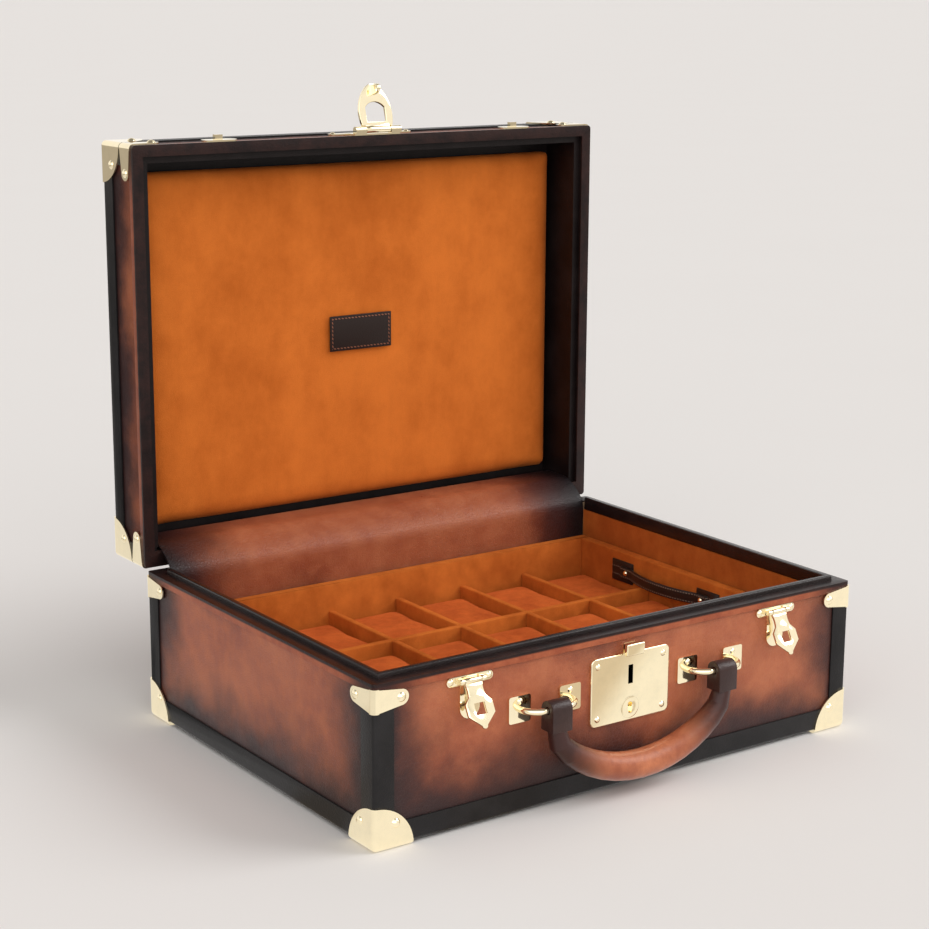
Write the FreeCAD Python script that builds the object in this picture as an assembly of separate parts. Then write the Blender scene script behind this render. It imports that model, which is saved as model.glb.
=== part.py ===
import FreeCAD, Part
import math
import os

V = FreeCAD.Vector
X_AXIS = V(1, 0, 0)
Y_AXIS = V(0, 1, 0)
Z_AXIS = V(0, 0, 1)
SIDES = (-1, 1)

# Whole case, in millimetres. The front looks along -Y and the case stands on z = 0.
CASE_W = 400.0
CASE_D = 301.0
BASE_H = 108.5
LID_H = 48.0
LID_OPEN = 90.0
SEAM = 0.2

# Wall build-up, from the brass outside to the suede inside.
BRASS = 1.0
TRIM = 1.2
LEATHER = 1.3
BOARD = 9.0
PANEL_BOARD = 6.0
LINING = 1.5
EDGE_R = 2.5

# Black leather edges.
TRIM_W = 14.8
BINDING_H = 6.0
COLLAR_IN = 8.5
COLLAR_LOW = 7.0
COLLAR_RISE = 3.5
COLLAR_GAP = 0.4
PAD_GAP = 0.3

# Brass corners and their dome-headed nails.
CAP_R = 28.5
CAP_FOOT = 2.0
CAP_NAIL_IN = 15.3
CAP_NAIL_UP = 17.0
BRACKET_L = 25.0
BRACKET_END_R = 5.2
BRACKET_END_DROP = 10.7
BRACKET_EDGE = 3.0
BRACKET_TIP = 18.8
NAIL_R = 3.2
NAIL_H = 1.8
TACK_R = 2.2
TACK_H = 1.2

# Hinge.
HINGE_X = 120.0
HINGE_W = 50.0
HINGE_LEAF = 24.0
HINGE_DROP = 1.0
KNUCKLE_R = 1.8
KNUCKLE_CLEAR = 0.2
KNUCKLES = 5
HINGE_PIN_R = 0.9
PIN_GAP = 0.05
KNUCKLE_GAP = 0.3
PLATE = 1.2

# Leather gusset inside the hinge.
GUSSET_GAP = 4.0
GUSSET_DROP = 37.0
GUSSET_LID = 30.0

# Lid padding.
PANEL_GAP_SIDE = 2.0
PANEL_GAP_END = 6.0
PANEL_T = 13.0
PANEL_CORNER = 7.0
PANEL_ROLL = 10.0
PATCH_W = 55.0
PATCH_H = 27.0
PATCH_T = 1.2

# Tray.
TRAY_GAP = 1.5
TRAY_FLOOR = 3.0
TRAY_WALL = 8.0
TRAY_DROP = 27.5
DIVIDER = 5.0
DIVIDER_DROP = 20.5
COLUMNS = 6
ROWS = 3

# Watch cushions.
CUSHION_GAP_X = 1.0
CUSHION_GAP_Y = 5.0
CUSHION_DROP = 5.0
CUSHION_REST = 0.2
CUSHION_FOOT = 9.0
CUSHION_CROWN = 4.0
CUSHION_DRAW = 4.5

# Tray pulls.
STRAP_SPAN = 76.0
STRAP_LAP = 13.0
STRAP_TAB_L = 25.0
STRAP_TAB_H = 17.0
STRAP_TAB_T = 1.5
STRAP_W = 9.0
STRAP_T = 2.0
STRAP_STAND = 10.5
STRAP_RISE = 5.5
STRAP_GAP = 0.5

# Lock.
LOCK_W = 66.0
LOCK_H = 47.0
LOCK_DROP = 39.0
LOCK_T = 2.0
LOCK_CORNER = 4.0
LOCK_NAIL_IN = 5.5
SLOT_W = 4.0
SLOT_H = 13.0
SLOT_GAP = 0.7
PLUG_R = 7.5
PLUG_BARREL_R = 6.0
PLUG_LOW = 14.5
PLUG_GAP = 0.05
PLUG_L = 6.0
KEYHOLE_R = 1.9
KEYHOLE_W = 2.2
KEYHOLE_L = 6.0
CASE_WALL = 1.0
LOCK_CASE_SIDE = 7.0
LOCK_CASE_END = 1.0
LOCK_CASE_D = 8.0
BUTTON_W = 15.0
BUTTON_H = 8.0
BUTTON_T = 3.4
BUTTON_LIFT = 1.9
STEM_W = 7.0
STEM_H = 4.0
STEM_GAP = 0.1
BOLT_H = 2.6
BOLT_T = 2.2
BOLT_L = 16.0
BOLT_HOME = 3.0
CRANK_R = 4.8
CRANK_PIN_R = 1.0
CRANK_SLOT = 0.5
CRANK_TURN = 45.0

# Clasps.
CLASP_X = 129.0
CLASP_EAR_W = 35.0
CLASP_EAR_H = 6.0
CLASP_DROP = 6.2
CLASP_PLATE_W = 15.0
CLASP_PLATE_H = 28.8
CLASP_T = 1.5
CLASP_PIVOT_DROP = 3.2
CLASP_BARREL_R = 2.0
CLASP_PIN_R = 1.0
CLASP_BARREL_W = 12.0
CLASP_KNUCKLE_W = 3.4
LEVER_L = 31.0
LEVER_T = 1.6
LEVER_NECK = 6.4
LEVER_WIDE = 10.0
LEVER_TILT = 28.0
LEVER_WINDOW_W = 8.0
LEVER_WINDOW_TOP = 14.5
LEVER_WINDOW_LOW = 22.0
STRIKE_W = 27.0
STRIKE_EDGE = 4.6
NIB_W = 6.0
NIB_H = 3.6
NIB_OUT = 3.4

# Hasp on the lid.
HASP_REACH = 34.0
HASP_T = 2.4
HASP_FOOT = 13.0
HASP_HALF = 14.3
HASP_TIP = 6.5
HASP_LEAN = 106.0
HASP_PIVOT_UP = 0.5
HASP_BARREL_R = 2.5
HASP_PIN_R = 1.3
HASP_BARREL_W = 21.0
HASP_KNUCKLE_W = 9.0
HASP_PLATE_W = 72.0
HASP_PLATE_H = 15.0
HASP_WINDOW_W = 17.0
HASP_WINDOW_TOP = 5.5
HASP_WINDOW_LOW = 20.5
STAPLE_W = 2.8
STAPLE_WALL = 1.8
STAPLE_END = 5.0
EYE_GAP = 0.4

# Carrying handle.
HANDLE_SPAN = 140.0
HANDLE_LOW = 37.0
HANDLE_STAND = 14.0
HANDLE_DROP = 52.0
HANDLE_SIDE_R = 20.0
GRIP_R = 9.7
GRIP_END_R = 6.2
GRIP_SECTIONS = 17
LOOP_W = 15.6
LOOP_L = 14.0
LOOP_R = 6.4
BOW_R = 2.2
BOW_RISE = 2.0
BOW_GAP = 0.4
FOOT_W = 17.0
FOOT_H = 18.0
FOOT_T = 1.6

# Places that follow from the sizes above.
HALF_W = CASE_W / 2
HALF_D = CASE_D / 2
BOARD_IN = TRIM + LEATHER
INNER_IN = BOARD_IN + BOARD
LINED_IN = INNER_IN + LINING
FRONT = -(HALF_D - TRIM)
BINDING_FRONT = -HALF_D
FLOOR_LOW = CAP_FOOT + TRIM
FLOOR_TOP = FLOOR_LOW + PANEL_BOARD
LINED_FLOOR = FLOOR_TOP + LINING
WALL_TOP = BASE_H - TRIM
COLLAR_BOTTOM = BASE_H - COLLAR_LOW
LID_LOW = BASE_H + SEAM
LID_TOP = LID_LOW + LID_H
LID_LEATHER_TOP = LID_TOP - TRIM
LID_BOARD_TOP = LID_LEATHER_TOP - LEATHER
LID_BOARD_LOW = LID_BOARD_TOP - PANEL_BOARD
LID_STEP = BASE_H + COLLAR_RISE + 2 * COLLAR_GAP
LID_FLANGE_IN = COLLAR_IN - COLLAR_GAP
HINGE_Y = HALF_D + KNUCKLE_R + KNUCKLE_CLEAR
HINGE_Z = BASE_H - HINGE_DROP
TRAY_X = HALF_W - LINED_IN - TRAY_GAP
TRAY_Y = HALF_D - LINED_IN - TRAY_GAP
CELL_FLOOR = LINED_FLOOR + TRAY_FLOOR
INNER_X = TRAY_X - TRAY_WALL
INNER_Y = TRAY_Y - TRAY_WALL
PITCH_X = (2 * INNER_X + DIVIDER) / COLUMNS
PITCH_Y = (2 * INNER_Y + DIVIDER) / ROWS
TRAY_TOP = BASE_H - TRAY_DROP
DIVIDER_TOP = TRAY_TOP - DIVIDER_DROP
CUSHION_TOP = DIVIDER_TOP - CUSHION_DROP
STRAP_FRONT = DIVIDER / 2 + STRAP_GAP - PITCH_Y / 2
STRAP_Y = STRAP_FRONT + STRAP_TAB_L + STRAP_SPAN / 2
STRAP_Z = DIVIDER_TOP + STRAP_RISE
LOCK_FACE = FRONT - LOCK_T
LOCK_Z = BASE_H - LOCK_DROP
PLUG_Z = LOCK_Z - PLUG_LOW
BOLT_FRONT = FRONT + CASE_WALL
HASP_PIVOT_Z = LID_LOW + HASP_PIVOT_UP
STAPLE_Z = HASP_PIVOT_Z - HASP_REACH + STAPLE_END
STAPLE_HALF = BOLT_H / 2 + EYE_GAP + STAPLE_WALL
SLOT_TOP = STAPLE_Z + STAPLE_HALF + SLOT_GAP
BUTTON_Z = HASP_PIVOT_Z - (HASP_WINDOW_TOP + HASP_WINDOW_LOW) / 2
HASP_PIVOT_Y = BINDING_FRONT - PLATE - HASP_BARREL_R - KNUCKLE_GAP
CLASP_TOP = BASE_H - CLASP_DROP
CLASP_PIVOT_Z = CLASP_TOP - CLASP_PIVOT_DROP
CLASP_PIVOT_Y = FRONT - CLASP_T - CLASP_BARREL_R - KNUCKLE_GAP
HANDLE_Y = FRONT - HANDLE_STAND
HANDLE_Z = BASE_H - HANDLE_LOW
BOW_BEND = HANDLE_STAND - BOW_RISE


def save(name, shape):
    shape.exportStep(os.path.join("parts", name + ".step"))


def group(shapes):
    return Part.makeCompound(list(shapes))


def box(x, y, z):
    """A block from three pairs of limits."""
    return Part.makeBox(x[1] - x[0], y[1] - y[0], z[1] - z[0], V(x[0], y[0], z[0]))


def rod(radius, start, direction, length):
    return Part.makeCylinder(radius, length, start, direction)


def rod_x(radius, x, y, z):
    """A round bar along X between two x limits."""
    return rod(radius, V(x[0], y, z), X_AXIS, x[1] - x[0])


def plane_xz(u, v):
    return V(u, 0, v)


def plane_xy(u, v):
    return V(u, v, 0)


def outline(place, start, *steps):
    """A closed wire: a pair is the end of a line, four numbers are a point on an arc and its end."""
    edges = []
    here = start
    for step in (*steps, start):
        there = step[-2:]
        if math.dist(here, there) < 1e-6:
            continue
        if len(step) == 4:
            arc = Part.Arc(place(*here), place(*step[:2]), place(*there))
            edges.append(arc.toShape())
        else:
            edges.append(Part.LineSegment(place(*here), place(*there)).toShape())
        here = there
    return Part.Wire(edges)


def plate(wire, direction):
    return Part.Face(wire).extrude(direction)


def case_block(inset, low, high):
    """The case's rectangle, drawn in from the face of the edge trims."""
    return box((inset - HALF_W, HALF_W - inset), (inset - HALF_D, HALF_D - inset), (low, high))


def rounded_case(grow, low, high, closed_end):
    """The case's block with its upright edges and the edges of its closed end rounded."""
    solid = case_block(-grow, low, high)
    ends = []
    for edge in solid.Edges:
        heights = [vertex.Z for vertex in edge.Vertexes]
        upright = abs(heights[0] - heights[1]) > 1
        if upright or max(abs(height - closed_end) for height in heights) < 1e-6:
            ends.append(edge)
    return solid.makeFillet(EDGE_R + grow, ends)


def corner_posts(reach, low, high):
    """Four square posts, one on each upright edge."""
    posts = []
    for sx in SIDES:
        for sy in SIDES:
            xs = sorted((sx * (HALF_W - reach), sx * (HALF_W + reach)))
            ys = sorted((sy * (HALF_D - reach), sy * (HALF_D + reach)))
            posts.append(box(xs, ys, (low, high)))
    return posts


def opened(shape):
    """Turns a piece of the closed lid back about the hinge pin."""
    turned = shape.copy()
    turned.rotate(V(0, HINGE_Y, HINGE_Z), X_AXIS, -LID_OPEN)
    return turned


def dome(radius, height, point, normal):
    """A dome head seated on its plate."""
    ball = (radius**2 + height**2) / (2 * height)
    rise = ball - height
    latitude = math.degrees(math.asin(rise / ball))
    return Part.makeSphere(ball, point - normal * rise, normal, latitude, 90, 360)


def nail(point, normal):
    """The large head of the corners."""
    return dome(NAIL_R, NAIL_H, point, normal)


def tack(point, normal):
    """The small head of the lock, clasps, hasp, hinges, handle and straps."""
    return dome(TACK_R, TACK_H, point, normal)


BASE_FACE = rounded_case(0, CAP_FOOT, BASE_H, CAP_FOOT)
BASE_SHELL = rounded_case(BRASS, 0, BASE_H, 0)
LID_FACE = rounded_case(0, LID_LOW, LID_TOP, LID_TOP)
LID_SHELL = rounded_case(BRASS, LID_LOW, LID_TOP + BRASS, LID_TOP + BRASS)


# Boards of the base
def lock_hollow(wall, front):
    """The lock case's room, drawn in by its wall: a wide box with a neck behind the button."""
    half = LOCK_W / 2 - LOCK_CASE_SIDE - wall
    neck = STEM_W / 2 + STEM_GAP + CASE_WALL - wall
    depth = (front, FRONT + LOCK_CASE_D - wall)
    low = LOCK_Z - LOCK_H / 2 + LOCK_CASE_END + wall
    high = LOCK_Z + LOCK_H / 2 - LOCK_CASE_END - wall
    top = BUTTON_Z + STEM_H / 2 + STEM_GAP + CASE_WALL - wall
    room = box((-half, half), depth, (low, high)).fuse(box((-neck, neck), depth, (low, top)))
    return room.removeSplitter()


def base_boards():
    outer_x = HALF_W - BOARD_IN
    outer_y = HALF_D - BOARD_IN
    inner_x = HALF_W - INNER_IN
    inner_y = HALF_D - INNER_IN
    rebate = box(
        (COLLAR_IN - HALF_W, HALF_W - COLLAR_IN),
        (COLLAR_IN - HALF_D, inner_y),
        (COLLAR_BOTTOM, BASE_H + COLLAR_RISE),
    )
    height = (FLOOR_TOP, WALL_TOP)
    front = box((-outer_x, outer_x), (-outer_y, -inner_y), height).cut(rebate)
    save("base_floor_board", case_block(BOARD_IN, FLOOR_LOW, FLOOR_TOP))
    save("base_front_board", front.cut(lock_hollow(0, FRONT)))
    save("base_back_board", box((-outer_x, outer_x), (inner_y, outer_y), height))
    for name, sx in (("base_left_board", -1), ("base_right_board", 1)):
        xs = sorted((sx * inner_x, sx * outer_x))
        save(name, box(xs, (-inner_y, inner_y), height).cut(rebate))


# Leather skins of the base
def base_leather():
    height = (FLOOR_LOW, WALL_TOP)
    wide = (TRIM - HALF_W, HALF_W - TRIM)
    deep = (BOARD_IN - HALF_D, HALF_D - BOARD_IN)
    save("base_front_leather", box(wide, (FRONT, FRONT + LEATHER), height).cut(lock_hollow(0, FRONT)))
    save("base_back_leather", box(wide, (-FRONT - LEATHER, -FRONT), height))
    side = box((TRIM - HALF_W, BOARD_IN - HALF_W), deep, height)
    save("base_side_leathers", group((side, side.mirror(V(0, 0, 0), X_AXIS))))


def base_bottom_pad():
    """The sheet under the floor, cut back around the brass corners and level with them."""
    edge = TRIM_W + PAD_GAP
    pad = case_block(edge, 0, FLOOR_LOW)
    for sx in SIDES:
        for sy in SIDES:
            corner = V(sx * HALF_W, sy * HALF_D, 0)
            pad = pad.cut(rod(CAP_R + PAD_GAP, corner, Z_AXIS, FLOOR_LOW))
    save("base_bottom_pad", pad)


# Black edge trims
def base_edge_trim():
    shell = BASE_FACE.cut(case_block(TRIM, FLOOR_LOW, BASE_H))
    shell = shell.cut(case_block(TRIM_W, 0, FLOOR_LOW))
    band_top = CAP_FOOT + TRIM_W
    pieces = [shell.common(case_block(-TRIM_W, 0, band_top))]
    for post in corner_posts(TRIM_W, band_top, BASE_H - BINDING_H):
        pieces.append(shell.common(post))
    save("base_edge_trim", group(pieces))


def lid_edge_trim():
    shell = LID_FACE.cut(case_block(TRIM, LID_LOW, LID_LEATHER_TOP))
    shell = shell.cut(case_block(TRIM_W, LID_LEATHER_TOP, LID_TOP))
    band_low = LID_TOP - TRIM_W
    pieces = [shell.common(case_block(-TRIM_W, band_low, LID_TOP))]
    for post in corner_posts(TRIM_W, LID_LOW + BINDING_H, band_low):
        pieces.append(shell.common(post))
    save("lid_edge_trim", opened(group(pieces)))


# Bound rims and the collar that the lid shuts over
def rims():
    back = HALF_D - INNER_IN
    skirt = BASE_FACE.common(case_block(-TRIM_W, BASE_H - BINDING_H, BASE_H))
    skirt = skirt.cut(case_block(TRIM, BASE_H - BINDING_H, WALL_TOP))
    mouth = box((COLLAR_IN - HALF_W, HALF_W - COLLAR_IN), (COLLAR_IN - HALF_D, back), (WALL_TOP, BASE_H))
    save("base_rim_binding", skirt.cut(mouth))

    top = BASE_H + COLLAR_RISE
    ring = case_block(COLLAR_IN, COLLAR_BOTTOM, top).cut(case_block(LINED_IN, COLLAR_BOTTOM, top))
    open_back = box((-HALF_W, HALF_W), (back - LINING - PAD_GAP, HALF_D), (COLLAR_BOTTOM, top))
    save("base_collar", ring.cut(open_back))

    flange = LID_LOW + TRIM
    skirt = LID_FACE.common(case_block(-TRIM_W, LID_LOW, LID_LOW + BINDING_H))
    skirt = skirt.cut(case_block(TRIM, flange, LID_LOW + BINDING_H))
    mouth = box(
        (LID_FLANGE_IN - HALF_W, HALF_W - LID_FLANGE_IN),
        (LID_FLANGE_IN - HALF_D, back),
        (LID_LOW, flange),
    )
    save("lid_rim_binding", opened(skirt.cut(mouth)))


# Brass corners
def corner_caps(shell, face, level):
    """Pressed caps: the part of the brass shell inside a ball on each corner."""
    sheet = shell.cut(face)
    caps = []
    for sx in SIDES:
        for sy in SIDES:
            ball = Part.makeSphere(CAP_R, V(sx * HALF_W, sy * HALF_D, level), Z_AXIS, -90, 90, 360)
            caps.append(sheet.common(ball))
    return group(caps)


def bracket_wing(place, rim, away, reach):
    """One wing of a rim bracket: a rounded end, widening to a point on the corner."""
    end = BRACKET_L - BRACKET_END_R
    centre = rim + away * BRACKET_END_DROP
    top = rim + away * BRACKET_EDGE
    tip = rim + away * BRACKET_TIP
    return outline(
        place,
        (-reach, top),
        (0, top),
        (end, centre - away * BRACKET_END_R),
        (BRACKET_L, centre, end, centre + away * BRACKET_END_R),
        (0, tip),
        (-reach, tip),
    )


def rim_brackets(shell, face, rim, away):
    sheet = shell.cut(face)
    reach = EDGE_R + BRASS
    brackets = []
    for sx in SIDES:
        for sy in SIDES:
            along_x = bracket_wing(
                lambda u, v: V(sx * (HALF_W - u), sy * (HALF_D - reach), v), rim, away, reach
            )
            along_y = bracket_wing(
                lambda u, v: V(sx * (HALF_W - reach), sy * (HALF_D - u), v), rim, away, reach
            )
            wings = plate(along_x, V(0, sy * 2 * reach, 0))
            wings = wings.fuse(plate(along_y, V(sx * 2 * reach, 0, 0)))
            brackets.append(sheet.common(wings))
    return group(brackets)


def corner_nails(cap_level, bracket_level):
    """A nail on both upright faces of each cap and each bracket."""
    heads = []
    bracket_nail = BRACKET_L - BRACKET_END_R
    for sx in SIDES:
        for sy in SIDES:
            for inset, level in ((CAP_NAIL_IN, cap_level), (bracket_nail, bracket_level)):
                on_y = V(sx * (HALF_W - inset), sy * (HALF_D + BRASS), level)
                on_x = V(sx * (HALF_W + BRASS), sy * (HALF_D - inset), level)
                heads.append(nail(on_y, V(0, sy, 0)))
                heads.append(nail(on_x, V(sx, 0, 0)))
    return heads


def brass_corners():
    save("base_corner_caps", corner_caps(BASE_SHELL, BASE_FACE, 0))
    save("base_rim_brackets", rim_brackets(BASE_SHELL, BASE_FACE, BASE_H, -1))
    save("lid_corner_caps", opened(corner_caps(LID_SHELL, LID_FACE, LID_TOP)))
    save("lid_rim_brackets", opened(rim_brackets(LID_SHELL, LID_FACE, LID_LOW, 1)))


# Suede and leather inside the base
def base_linings():
    inner_x = HALF_W - INNER_IN
    inner_y = HALF_D - INNER_IN
    lined_y = HALF_D - LINED_IN
    height = (LINED_FLOOR, COLLAR_BOTTOM)
    front = box((-inner_x, inner_x), (-inner_y, -lined_y), height)
    back = box((-inner_x, inner_x), (lined_y, inner_y), (LINED_FLOOR, BASE_H - GUSSET_DROP))
    side = box((-inner_x, LINING - inner_x), (-lined_y, lined_y), height)
    panels = (front, back, side, side.mirror(V(0, 0, 0), X_AXIS))
    save("base_wall_lining", group(panels))
    save("base_floor_lining", case_block(INNER_IN, FLOOR_TOP, LINED_FLOOR))
    half = HALF_W - LINED_IN - GUSSET_GAP
    save("hinge_gusset_base", box((-half, half), (lined_y, inner_y), (BASE_H - GUSSET_DROP, WALL_TOP)))


# Lid shell
def lid_boards():
    outer_x = HALF_W - BOARD_IN
    outer_y = HALF_D - BOARD_IN
    inner_x = HALF_W - INNER_IN
    inner_y = HALF_D - INNER_IN
    height = (LID_LOW + TRIM, LID_BOARD_LOW)
    recess = box(
        (LID_FLANGE_IN - HALF_W, HALF_W - LID_FLANGE_IN),
        (LID_FLANGE_IN - HALF_D, inner_y),
        (LID_LOW, LID_STEP),
    )
    front = box((-outer_x, outer_x), (-outer_y, -inner_y), height).cut(recess)
    back = box((-outer_x, outer_x), (inner_y, outer_y), height)
    side = box((-outer_x, -inner_x), (-inner_y, inner_y), height).cut(recess)
    walls = (front, back, side, side.mirror(V(0, 0, 0), X_AXIS))
    save("lid_wall_boards", opened(group(walls)))
    save("lid_top_board", opened(case_block(BOARD_IN, LID_BOARD_LOW, LID_BOARD_TOP)))


def lid_leather():
    height = (LID_LOW + TRIM, LID_BOARD_TOP)
    wide = (TRIM - HALF_W, HALF_W - TRIM)
    deep = (BOARD_IN - HALF_D, HALF_D - BOARD_IN)
    front = box(wide, (FRONT, FRONT + LEATHER), height)
    side = box((TRIM - HALF_W, BOARD_IN - HALF_W), deep, height)
    back = front.mirror(V(0, 0, 0), Y_AXIS)
    walls = (front, back, side, side.mirror(V(0, 0, 0), X_AXIS))
    save("lid_wall_leather", opened(group(walls)))
    save("lid_top_leather", opened(case_block(TRIM, LID_BOARD_TOP, LID_LEATHER_TOP)))


def rounded_rectangle(width, depth, corner, z):
    """A rectangle with quarter-round corners, counter-clockwise."""
    w = width / 2
    d = depth / 2
    a = w - corner
    b = d - corner
    k = corner * math.sqrt(0.5)
    return outline(
        lambda u, v: V(u, v, z),
        (-a, -d),
        (a, -d),
        (a + k, -b - k, w, -b),
        (w, b),
        (a + k, b + k, a, d),
        (-a, d),
        (-a - k, b + k, -w, b),
        (-w, -b),
        (-a - k, -b - k, -a, -d),
    )


def lid_inside():
    inner_x = HALF_W - INNER_IN
    inner_y = HALF_D - INNER_IN
    lined_x = HALF_W - LINED_IN
    lined_y = HALF_D - LINED_IN
    height = (LID_STEP, LID_BOARD_LOW)
    front = box((-inner_x, inner_x), (-inner_y, -lined_y), height)
    side = box((-inner_x, -lined_x), (-lined_y, lined_y), height)
    save("lid_wall_lining", opened(group((front, side, side.mirror(V(0, 0, 0), X_AXIS)))))
    half = HALF_W - LINED_IN - GUSSET_GAP
    gusset = box((-half, half), (lined_y, inner_y), (LID_LOW + TRIM, LID_LOW + TRIM + GUSSET_LID))
    save("hinge_gusset_lid", opened(gusset))

    face = LID_BOARD_LOW - PANEL_T
    wide = 2 * (lined_x - PANEL_GAP_SIDE)
    deep = 2 * (lined_y - PANEL_GAP_END)
    rings = []
    for share, inset in ((1.0, 0.0), (0.55, 0.0), (0.25, 0.2), (0.08, 0.5), (0.0, 1.0)):
        draw = inset * PANEL_ROLL
        level = face + share * PANEL_T
        rings.append(rounded_rectangle(wide - 2 * draw, deep - 2 * draw, PANEL_CORNER, level))
    save("lid_padded_panel", opened(Part.makeLoft(rings, True, True)))
    patch = box((-PATCH_W / 2, PATCH_W / 2), (-PATCH_H / 2, PATCH_H / 2), (face - PATCH_T, face))
    save("lid_patch", opened(patch))


# Hinges
def knuckle_span(index):
    """The x limits of one knuckle, measured from the middle of its hinge."""
    pitch = HINGE_W / KNUCKLES
    start = index * pitch - HINGE_W / 2
    return (start + KNUCKLE_GAP / 2, start + pitch - KNUCKLE_GAP / 2)


def hinge_leaf(centre, away, own):
    """A leaf seated on the leather and stepped over the rim binding, with every second knuckle."""
    xs = (centre - HINGE_W / 2, centre + HINGE_W / 2)
    edge = BASE_H + away * KNUCKLE_GAP
    step = BASE_H + away * (BINDING_H + SEAM)
    far = BASE_H + away * HINGE_LEAF
    leaf = box(xs, (HALF_D, HALF_D + PLATE), sorted((edge, far)))
    leaf = leaf.fuse(box(xs, (-FRONT, HALF_D), sorted((step, far))))
    room = KNUCKLE_R + KNUCKLE_GAP
    for index in range(KNUCKLES):
        start, end = knuckle_span(index)
        span = (centre + start, centre + end)
        if index % 2 == own:
            neck = box(span, (HALF_D + KNUCKLE_CLEAR, HALF_D + PLATE), sorted((HINGE_Z, step)))
            leaf = leaf.fuse(neck).fuse(rod_x(KNUCKLE_R, span, HINGE_Y, HINGE_Z))
        else:
            wide = (span[0] - KNUCKLE_GAP, span[1] + KNUCKLE_GAP)
            leaf = leaf.cut(box(wide, (HALF_D, HINGE_Y + room), (HINGE_Z - room, HINGE_Z + room)))
    bore = rod_x(HINGE_PIN_R + PIN_GAP, xs, HINGE_Y, HINGE_Z)
    return leaf.cut(bore).removeSplitter()


def hinges():
    centres = (-HINGE_X, HINGE_X)
    save("hinge_base_leaves", group(hinge_leaf(centre, -1, 0) for centre in centres))
    save("hinge_lid_leaves", opened(group(hinge_leaf(centre, 1, 1) for centre in centres)))


def hinge_nails(away):
    heads = []
    level = BASE_H + away * (BINDING_H + HINGE_LEAF) / 2
    for centre in (-HINGE_X, HINGE_X):
        for step in (-1, 0, 1):
            heads.append(tack(V(centre + step * HINGE_W / 3, HALF_D + PLATE, level), Y_AXIS))
    return heads


# Tray
def column_x(index):
    return (index - (COLUMNS - 1) / 2) * PITCH_X


def row_y(index):
    return (index - (ROWS - 1) / 2) * PITCH_Y


def tray():
    height = (CELL_FLOOR, TRAY_TOP)
    front = box((-TRAY_X, TRAY_X), (-TRAY_Y, -INNER_Y), height)
    side = box((-TRAY_X, -INNER_X), (-INNER_Y, INNER_Y), height)
    back = front.mirror(V(0, 0, 0), Y_AXIS)
    walls = (front, back, side, side.mirror(V(0, 0, 0), X_AXIS))
    save("tray_floor", box((-TRAY_X, TRAY_X), (-TRAY_Y, TRAY_Y), (LINED_FLOOR, CELL_FLOOR)))
    save("tray_walls", group(walls))

    middle = (CELL_FLOOR + DIVIDER_TOP) / 2
    half = DIVIDER / 2
    cross_x = [column_x(index) + PITCH_X / 2 for index in range(COLUMNS - 1)]
    long_y = [row_y(index) + PITCH_Y / 2 for index in range(ROWS - 1)]
    long_dividers = []
    for y in long_y:
        board = box((-INNER_X, INNER_X), (y - half, y + half), (CELL_FLOOR, DIVIDER_TOP))
        for x in cross_x:
            board = board.cut(box((x - half, x + half), (y - half, y + half), (CELL_FLOOR, middle)))
        long_dividers.append(board)
    cross_dividers = []
    for x in cross_x:
        board = box((x - half, x + half), (-INNER_Y, INNER_Y), (CELL_FLOOR, DIVIDER_TOP))
        for y in long_y:
            board = board.cut(box((x - half, x + half), (y - half, y + half), (middle, DIVIDER_TOP)))
        cross_dividers.append(board)
    save("tray_long_dividers", group(long_dividers))
    save("tray_cross_dividers", group(cross_dividers))


# Watch cushions
def cushion_section(x, draw):
    """An oval slice of the roll: flat foot, swelling ends and a crowned top, drawn in by one amount."""
    floor = CELL_FLOOR + CUSHION_REST
    top = CUSHION_TOP - draw
    shoulder = top - CUSHION_CROWN
    half = PITCH_Y / 2 - DIVIDER / 2 - CUSHION_GAP_Y - draw
    foot = half - CUSHION_FOOT
    waist = (floor + shoulder) / 2
    return outline(
        lambda u, v: V(x, u, v),
        (-foot, floor),
        (foot, floor),
        (half, waist, foot, shoulder),
        (0, top, -foot, shoulder),
        (-half, waist, -foot, floor),
    )


def cushion():
    half = PITCH_X / 2 - DIVIDER / 2 - CUSHION_GAP_X
    slices = []
    for share, draw in ((-1, 1.0), (-0.88, 0.25), (-0.5, 0.0), (0.5, 0.0), (0.88, 0.25), (1, 1.0)):
        slices.append(cushion_section(share * half, draw * CUSHION_DRAW))
    return Part.makeLoft(slices, True, True)


def cushions():
    pattern = cushion()

    def placed(column, row):
        copy = pattern.copy()
        copy.translate(V(column_x(column), row_y(row), 0))
        return copy

    middle_columns = range(1, COLUMNS - 1)
    for row, name in enumerate(("front", "middle", "back")):
        pieces = [placed(column, row) for column in middle_columns]
        save("watch_cushions_" + name + "_row", group(pieces))
    ends = [placed(column, row) for column in (0, COLUMNS - 1) for row in range(ROWS)]
    save("watch_cushions_under_straps", group(ends))


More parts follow.
